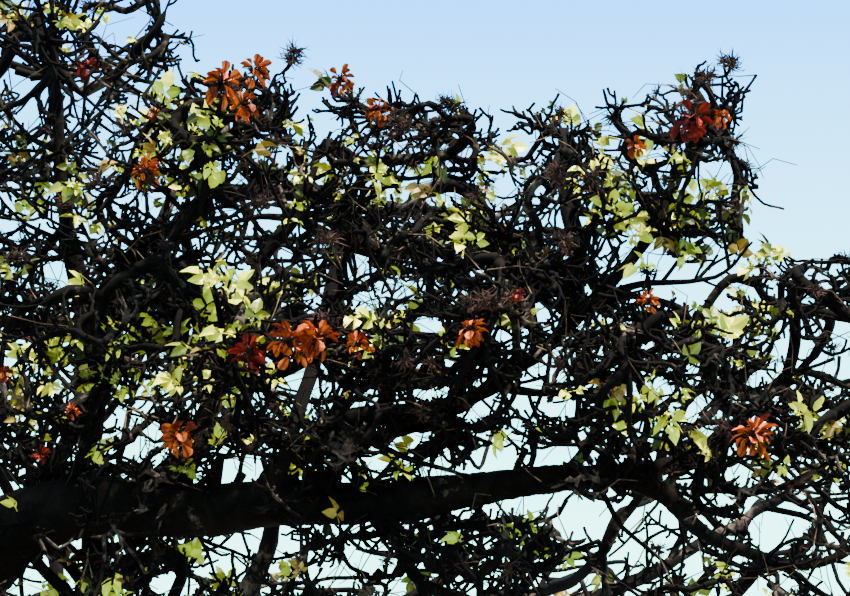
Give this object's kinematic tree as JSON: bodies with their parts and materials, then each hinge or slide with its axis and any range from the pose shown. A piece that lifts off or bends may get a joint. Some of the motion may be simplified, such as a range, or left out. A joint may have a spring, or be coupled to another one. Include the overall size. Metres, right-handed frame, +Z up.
{
  "type": "coast coral tree",
  "caption": "Flowering coral tree with a flared trunk, contorted boughs and a domed crown of knobbly twigs, young leaves and orange-red blooms.",
  "frame": {"origin": "centre of the flat cut under the trunk, at ground level", "axes": "+Z up along the trunk, -Y towards the side that the picture shows, +X to the right of that view"},
  "size_m": [5.187, 5.3142, 4.6348],
  "materials": {
    "bark": "rough",
    "foliage": "satin"
  },
  "bodies": {
    "root": {"back_bough_1": "bark", "back_bough_2": "bark", "back_bough_3": "bark", "back_bough_4": "bark", "back_bough_5": "bark", "central_mass": "foliage", "cleft_mass": "foliage", "crest_mass": "foliage", "diagonal_bough": "bark", "edge_bough": "bark", "edge_mass": "foliage", "elbow_mass": "foliage", "fork_bough": "bark", "great_bough": "bark", "inner_bough_1": "bark", "inner_bough_2": "bark", "inner_bough_3": "bark", "inner_bough_4": "bark", "inner_bough_5": "bark", "inner_front_mass": "foliage", "inner_mass_1": "foliage", "inner_mass_2": "foliage", "inner_mass_3": "foliage", "inner_mass_4": "foliage", "inner_mass_5": "foliage", "leader": "bark", "leafy_mass": "foliage", "left_mass": "foliage", "low_bough": "bark", "low_left_mass": "foliage", "low_right_mass": "foliage", "middle_bough": "bark", "middle_mass": "foliage", "near_bloom_mass": "foliage", "outer_bough": "bark", "outer_mass_1": "foliage", "outer_mass_10": "foliage", "outer_mass_2": "foliage", "outer_mass_3": "foliage", "outer_mass_4": "foliage", "outer_mass_5": "foliage", "outer_mass_6": "foliage", "outer_mass_7": "foliage", "outer_mass_8": "foliage", "outer_mass_9": "foliage", "right_mass": "foliage", "rising_bough": "bark", "spray_mass": "foliage", "top_left_mass": "foliage", "top_mass_1": "foliage", "top_mass_2": "foliage", "top_mass_3": "foliage", "trunk": "bark", "under_mass": "foliage", "upper_left_mass": "foliage", "upper_right_mass": "foliage", "upright_bough": "bark", "upright_top": "bark"}
  },
  "joints": []
}
